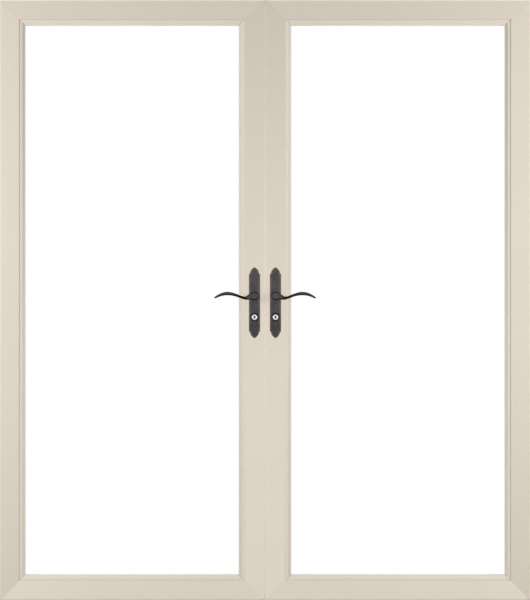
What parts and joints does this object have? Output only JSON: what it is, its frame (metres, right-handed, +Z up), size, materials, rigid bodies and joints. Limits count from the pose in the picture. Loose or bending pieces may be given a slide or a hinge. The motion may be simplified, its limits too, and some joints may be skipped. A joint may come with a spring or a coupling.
{
  "type": "french doors",
  "caption": "Full-glass vinyl french doors in a frame, with lever handles, key cylinders and geared bolts to the head and sill.",
  "frame": {"origin": "centre of the sill's underside, at the middle of the frame's depth", "axes": "+Z up, +X to the right seen from the front, -Y to the front, where the leaves open"},
  "size_m": [1.829, 0.1715, 2.058],
  "materials": {
    "vinyl": "almond vinyl, satin",
    "hinge_paint": "almond powder coat",
    "bronze": "dark oil-rubbed bronze",
    "chrome": "satin chrome",
    "steel": "zinc plated",
    "aluminium": "mill finish",
    "rubber": "soft almond seal",
    "plastic": "moulded",
    "glass": "clear float glass"
  },
  "bodies": {
    "frame": {"head": "vinyl", "sill": "vinyl", "sill_tread": "aluminium", "stop_seal": "rubber", "head_keepers": "steel", "left_jamb": "vinyl", "left_frame_hinge_leaves": "hinge_paint", "left_hinge_pins": "hinge_paint", "right_jamb": "vinyl", "right_frame_hinge_leaves": "hinge_paint", "right_hinge_pins": "hinge_paint"},
    "left_leaf": {"left_hinge_stile": "vinyl", "left_meeting_stile": "vinyl", "left_top_rail": "vinyl", "left_bottom_rail": "vinyl", "left_glazing_beads": "vinyl", "left_front_pane": "glass", "left_back_pane": "glass", "left_spacer": "aluminium", "left_glazing_gaskets": "rubber", "left_setting_blocks": "plastic", "left_meeting_seal": "rubber", "left_leaf_hinge_leaves": "hinge_paint", "left_front_plate": "bronze", "left_back_plate": "bronze", "left_lock_case": "steel", "left_key_cylinder": "chrome"},
    "left_lever": {"left_front_lever": "bronze", "left_back_lever": "bronze", "left_spindle": "steel", "left_pinion": "steel"},
    "left_top_bolt": {"left_top_rod": "steel"},
    "left_foot_bolt": {"left_bottom_rod": "steel"},
    "left_key": {"left_key_plug": "chrome"},
    "right_leaf": {"right_hinge_stile": "vinyl", "right_meeting_stile": "vinyl", "right_top_rail": "vinyl", "right_bottom_rail": "vinyl", "right_glazing_beads": "vinyl", "right_front_pane": "glass", "right_back_pane": "glass", "right_spacer": "aluminium", "right_glazing_gaskets": "rubber", "right_setting_blocks": "plastic", "right_meeting_seal": "rubber", "right_leaf_hinge_leaves": "hinge_paint", "right_front_plate": "bronze", "right_back_plate": "bronze", "right_lock_case": "steel", "right_key_cylinder": "chrome"},
    "right_lever": {"right_front_lever": "bronze", "right_back_lever": "bronze", "right_spindle": "steel", "right_pinion": "steel"},
    "right_top_bolt": {"right_top_rod": "steel"},
    "right_foot_bolt": {"right_bottom_rod": "steel"},
    "right_key": {"right_key_plug": "chrome"}
  },
  "joints": [
    {"name": "left_leaf_swing", "type": "hinge", "parent": "frame", "child": "left_leaf", "pos_m": [-0.882, -0.066, 1.029], "axis": [0, 0, -1], "range_deg": [0, 100]},
    {"name": "left_lever_lift", "type": "hinge", "parent": "left_leaf", "child": "left_lever", "pos_m": [-0.0345, -0.0295, 1.0425], "axis": [0, 1, 0], "range_deg": [0, 60]},
    {"name": "left_top_bolt_throw", "type": "slide", "parent": "left_leaf", "child": "left_top_bolt", "axis": [0, 0, 1], "range_m": [0, 0.0168]},
    {"name": "left_foot_bolt_throw", "type": "slide", "parent": "left_leaf", "child": "left_foot_bolt", "axis": [0, 0, -1], "range_m": [0, 0.0168]},
    {"name": "left_key_turn", "type": "hinge", "parent": "left_leaf", "child": "left_key", "pos_m": [-0.0345, -0.0295, 0.9725], "axis": [0, -1, 0], "range_deg": [0, 90]},
    {"name": "right_leaf_swing", "type": "hinge", "parent": "frame", "child": "right_leaf", "pos_m": [0.882, -0.066, 1.029], "axis": [0, 0, 1], "range_deg": [0, 100]},
    {"name": "right_lever_lift", "type": "hinge", "parent": "right_leaf", "child": "right_lever", "pos_m": [0.0345, -0.0295, 1.0425], "axis": [0, -1, 0], "range_deg": [0, 60]},
    {"name": "right_top_bolt_throw", "type": "slide", "parent": "right_leaf", "child": "right_top_bolt", "axis": [0, 0, 1], "range_m": [0, 0.0168]},
    {"name": "right_foot_bolt_throw", "type": "slide", "parent": "right_leaf", "child": "right_foot_bolt", "axis": [0, 0, -1], "range_m": [0, 0.0168]},
    {"name": "right_key_turn", "type": "hinge", "parent": "right_leaf", "child": "right_key", "pos_m": [0.0345, -0.0295, 0.9725], "axis": [0, 1, 0], "range_deg": [0, 90]}
  ],
  "couplings": [
    {"joint": "left_top_bolt_throw", "follows": "left_lever_lift", "m_per_rad": 0.016},
    {"joint": "left_foot_bolt_throw", "follows": "left_lever_lift", "m_per_rad": 0.016},
    {"joint": "right_top_bolt_throw", "follows": "right_lever_lift", "m_per_rad": 0.016},
    {"joint": "right_foot_bolt_throw", "follows": "right_lever_lift", "m_per_rad": 0.016}
  ]
}
